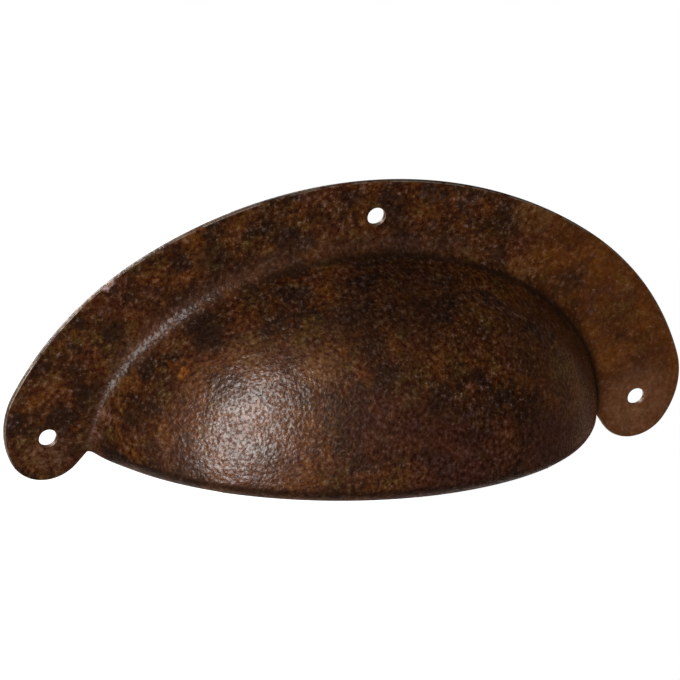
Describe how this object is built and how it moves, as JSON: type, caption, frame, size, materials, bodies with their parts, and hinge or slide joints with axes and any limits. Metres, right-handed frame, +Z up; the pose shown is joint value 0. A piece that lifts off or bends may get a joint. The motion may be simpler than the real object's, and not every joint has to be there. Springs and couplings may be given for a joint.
{
  "type": "cup pull",
  "caption": "Pressed sheet-steel cup pull with a rust-brown patina: a half dome drawn out of a flat half-oval flange, open below for the fingers, screwed to a drawer front.",
  "frame": {"origin": "midway between the two lobe screw holes, on the flat back of the flange", "axes": "+X along the pull, +Y out of the flange's back into the drawer front, +Z up; the dome stands out towards -Y"},
  "size_m": [0.1, 0.0211, 0.0415],
  "materials": {
    "patinated_steel": "dark rust-brown patina, mottled and fine-grained, waxed to a low gloss"
  },
  "bodies": {
    "root": {"cup_pull": "patinated_steel"}
  },
  "joints": []
}
